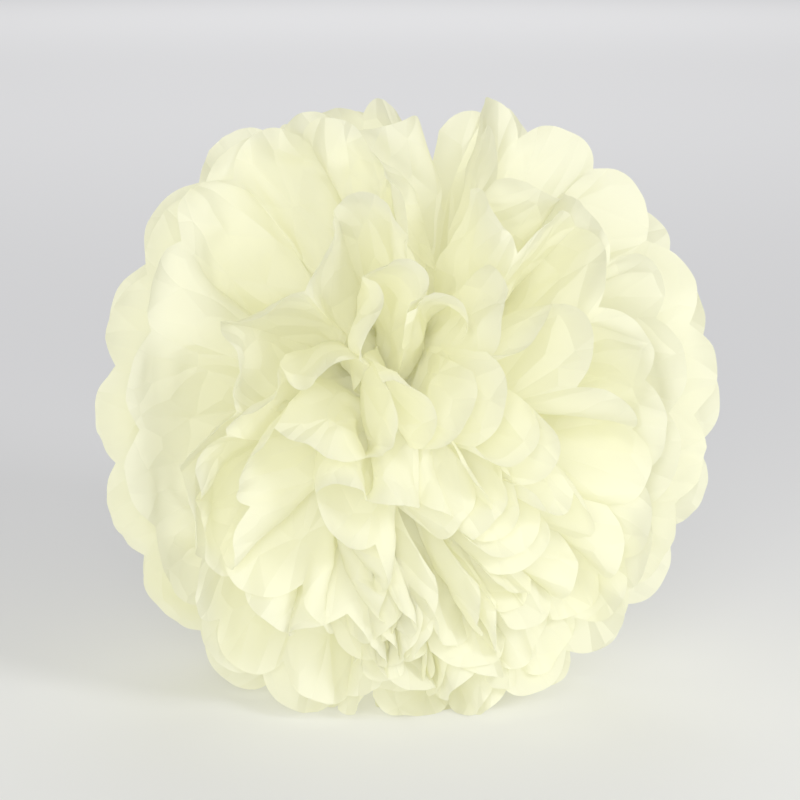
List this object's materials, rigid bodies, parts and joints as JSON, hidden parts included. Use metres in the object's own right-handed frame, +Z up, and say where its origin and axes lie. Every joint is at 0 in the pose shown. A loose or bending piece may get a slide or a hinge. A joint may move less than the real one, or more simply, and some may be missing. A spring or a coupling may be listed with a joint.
{
  "type": "tissue paper pom pom",
  "caption": "Round fluffed pom pom of pleated cream tissue sheets tied at the middle with wire, to stand or hang as a decoration.",
  "frame": {"origin": "on the surface the ball stands on, under the middle of its box", "axes": "+Z up, -Y the front with the deepest petals, X along the tied strip of paper"},
  "size_m": [0.2584, 0.2394, 0.2421],
  "materials": {
    "tissue": "matte",
    "tie_wire": "satin"
  },
  "bodies": {
    "root": {"front_tissue_sheet_1": "tissue", "front_tissue_sheet_2": "tissue", "front_tissue_sheet_3": "tissue", "front_tissue_sheet_4": "tissue", "front_tissue_sheet_5": "tissue", "front_tissue_sheet_6": "tissue", "back_tissue_sheet_1": "tissue", "back_tissue_sheet_2": "tissue", "back_tissue_sheet_3": "tissue", "back_tissue_sheet_4": "tissue", "back_tissue_sheet_5": "tissue", "back_tissue_sheet_6": "tissue", "wire_tie": "tie_wire"}
  },
  "joints": []
}
